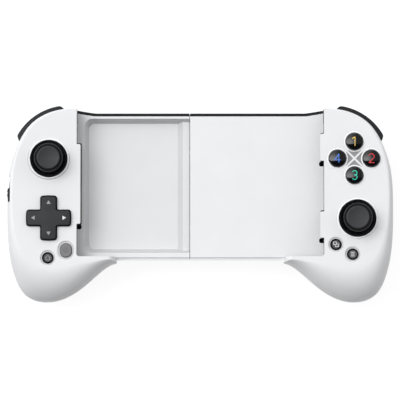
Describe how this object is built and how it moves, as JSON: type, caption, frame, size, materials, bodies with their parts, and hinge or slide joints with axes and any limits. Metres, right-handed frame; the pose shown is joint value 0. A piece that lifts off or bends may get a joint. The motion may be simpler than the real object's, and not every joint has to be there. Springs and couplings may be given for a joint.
{
  "type": "wireless gamepad",
  "caption": "Telescopic wireless gamepad with two grips that slide apart and clamp a phone between them, sticks, directional pad, face buttons, bumpers and triggers.",
  "frame": {"origin": "middle of the whole in width and height, on the surface its back rests on, with the halves closed", "axes": "+X to the player's right, +Y towards the shoulder buttons, +Z out of the face"},
  "size_m": [0.2228, 0.1126, 0.0455],
  "materials": {
    "white_shell": "satin",
    "black_shell": "satin",
    "dark_trim": "satin",
    "black_key": "glossy",
    "grey_key": "satin",
    "thumb_rubber": "matte",
    "pad_rubber": "matte",
    "steel": "brushed",
    "acetal": "satin",
    "board": "satin",
    "cell": "satin",
    "flex": "satin"
  },
  "bodies": {
    "left_half": {"left_front_shell": "white_shell", "left_rear_shell": "black_shell", "left_bridge_cover": "white_shell", "left_bridge_base": "black_shell", "left_rail_bushes": "acetal", "left_slide_spring": "steel", "link_ribbon": "flex", "left_circuit_board": "board", "left_membrane": "pad_rubber", "battery": "cell", "left_screws": "steel", "left_shoulder_pins": "steel", "dpad_post": "acetal", "left_stick_collar": "dark_trim", "left_stick_block": "acetal"},
    "right_half": {"right_front_shell": "white_shell", "right_rear_shell": "black_shell", "right_bridge_cover": "white_shell", "right_bridge_base": "black_shell", "right_rail_bushes": "acetal", "right_slide_spring": "steel", "right_circuit_board": "board", "right_membrane": "pad_rubber", "charging_socket": "steel", "right_screws": "steel", "right_shoulder_pins": "steel", "right_stick_collar": "dark_trim", "right_stick_block": "acetal"},
    "carriage": {"slide_carriage": "steel", "guide_rails": "steel"},
    "left_yoke": {"left_stick_yoke": "acetal"},
    "left_rocker": {"left_stick_rocker": "acetal"},
    "left_thumb_cap": {"left_stick_cap": "thumb_rubber"},
    "right_yoke": {"right_stick_yoke": "acetal"},
    "right_rocker": {"right_stick_rocker": "acetal"},
    "right_thumb_cap": {"right_stick_cap": "thumb_rubber"},
    "dpad_tip": {"dpad_pivot": "acetal"},
    "dpad_cross": {"dpad": "dark_trim"},
    "top_key_body": {"top_key": "black_key"},
    "right_key_body": {"right_key": "black_key"},
    "bottom_key_body": {"bottom_key": "black_key"},
    "left_key_body": {"left_key": "black_key"},
    "select_button_body": {"select_button": "black_key"},
    "menu_button_body": {"menu_button": "black_key"},
    "home_button_body": {"home_button": "black_key"},
    "capture_button_body": {"capture_button": "grey_key"},
    "left_bumper_body": {"left_bumper": "dark_trim"},
    "left_trigger_body": {"left_trigger": "dark_trim"},
    "right_bumper_body": {"right_bumper": "dark_trim"},
    "right_trigger_body": {"right_trigger": "dark_trim"},
    "switch_slider": {"power_switch": "dark_trim"}
  },
  "joints": [
    {"name": "grip_slide", "type": "slide", "parent": "left_half", "child": "right_half", "axis": [1, 0, 0], "range_m": [0, 0.084], "stiffness_N_per_m": 40, "springref_m": -0.06, "deforming": ["right_slide_spring", "link_ribbon"]},
    {"name": "carriage_slide", "type": "slide", "parent": "left_half", "child": "carriage", "axis": [1, 0, 0], "range_m": [0, 0.042], "deforming": ["left_slide_spring"]},
    {"name": "left_stick_pitch", "type": "hinge", "parent": "left_half", "child": "left_yoke", "pos_m": [-0.0872, 0.0255, 0.027], "axis": [1, 0, 0], "range_deg": [-16, 16], "stiffness_Nm_per_rad": 0.05},
    {"name": "left_stick_roll", "type": "hinge", "parent": "left_yoke", "child": "left_rocker", "pos_m": [-0.0872, 0.0255, 0.027], "axis": [0, 1, 0], "range_deg": [-16, 16], "stiffness_Nm_per_rad": 0.05},
    {"name": "left_stick_click", "type": "slide", "parent": "left_rocker", "child": "left_thumb_cap", "axis": [0, 0, -1], "range_m": [0, 0.0005], "stiffness_N_per_m": 2000, "springref_m": -0.0005},
    {"name": "right_stick_pitch", "type": "hinge", "parent": "right_half", "child": "right_yoke", "pos_m": [0.0904, -0.0088, 0.027], "axis": [1, 0, 0], "range_deg": [-16, 16], "stiffness_Nm_per_rad": 0.05},
    {"name": "right_stick_roll", "type": "hinge", "parent": "right_yoke", "child": "right_rocker", "pos_m": [0.0904, -0.0088, 0.027], "axis": [0, 1, 0], "range_deg": [-16, 16], "stiffness_Nm_per_rad": 0.05},
    {"name": "right_stick_click", "type": "slide", "parent": "right_rocker", "child": "right_thumb_cap", "axis": [0, 0, -1], "range_m": [0, 0.0005], "stiffness_N_per_m": 2000, "springref_m": -0.0005},
    {"name": "dpad_pitch", "type": "hinge", "parent": "left_half", "child": "dpad_tip", "pos_m": [-0.0872, -0.0087, 0.033], "axis": [1, 0, 0], "range_deg": [-4.5, 4.5], "stiffness_Nm_per_rad": 0.05},
    {"name": "dpad_roll", "type": "hinge", "parent": "dpad_tip", "child": "dpad_cross", "pos_m": [-0.0872, -0.0087, 0.033], "axis": [0, 1, 0], "range_deg": [-4.5, 4.5], "stiffness_Nm_per_rad": 0.05},
    {"name": "top_key_press", "type": "slide", "parent": "right_half", "child": "top_key_body", "axis": [0, 0, -1], "range_m": [0, 0.0012], "stiffness_N_per_m": 600, "springref_m": -0.0005},
    {"name": "right_key_press", "type": "slide", "parent": "right_half", "child": "right_key_body", "axis": [0, 0, -1], "range_m": [0, 0.0012], "stiffness_N_per_m": 600, "springref_m": -0.0005},
    {"name": "bottom_key_press", "type": "slide", "parent": "right_half", "child": "bottom_key_body", "axis": [0, 0, -1], "range_m": [0, 0.0012], "stiffness_N_per_m": 600, "springref_m": -0.0005},
    {"name": "left_key_press", "type": "slide", "parent": "right_half", "child": "left_key_body", "axis": [0, 0, -1], "range_m": [0, 0.0012], "stiffness_N_per_m": 600, "springref_m": -0.0005},
    {"name": "select_button_press", "type": "slide", "parent": "right_half", "child": "select_button_body", "axis": [0, 0, -1], "range_m": [0, 0.0006], "stiffness_N_per_m": 600, "springref_m": -0.0005},
    {"name": "menu_button_press", "type": "slide", "parent": "right_half", "child": "menu_button_body", "axis": [0, 0, -1], "range_m": [0, 0.0006], "stiffness_N_per_m": 600, "springref_m": -0.0005},
    {"name": "home_button_press", "type": "slide", "parent": "left_half", "child": "home_button_body", "axis": [0, 0, -1], "range_m": [0, 0.0006], "stiffness_N_per_m": 600, "springref_m": -0.0005},
    {"name": "capture_button_press", "type": "slide", "parent": "left_half", "child": "capture_button_body", "axis": [0, 0, -1], "range_m": [0, 0.0006], "stiffness_N_per_m": 600, "springref_m": -0.0005},
    {"name": "left_bumper_press", "type": "hinge", "parent": "left_half", "child": "left_bumper_body", "pos_m": [-0.08043, 0.05268, 0.0275], "axis": [0, 0, 1], "range_deg": [0, 3.2], "stiffness_Nm_per_rad": 0.5, "springref_deg": -2.86},
    {"name": "left_trigger_pull", "type": "hinge", "parent": "left_half", "child": "left_trigger_body", "pos_m": [-0.09139, 0.04518, 0.0134], "axis": [-0.823, -0.5681, 0], "range_deg": [0, 16], "stiffness_Nm_per_rad": 0.05, "springref_deg": -17.19},
    {"name": "right_bumper_press", "type": "hinge", "parent": "right_half", "child": "right_bumper_body", "pos_m": [0.08043, 0.05268, 0.0275], "axis": [0, 0, -1], "range_deg": [0, 3.2], "stiffness_Nm_per_rad": 0.5, "springref_deg": -2.86},
    {"name": "right_trigger_pull", "type": "hinge", "parent": "right_half", "child": "right_trigger_body", "pos_m": [0.09139, 0.04518, 0.0134], "axis": [-0.823, 0.5681, 0], "range_deg": [0, 16], "stiffness_Nm_per_rad": 0.05, "springref_deg": -17.19},
    {"name": "power_slide", "type": "slide", "parent": "left_half", "child": "switch_slider", "axis": [0, -1, 0], "range_m": [0, 0.003]}
  ],
  "couplings": [
    {"joint": "carriage_slide", "follows": "grip_slide", "ratio": 0.5}
  ]
}
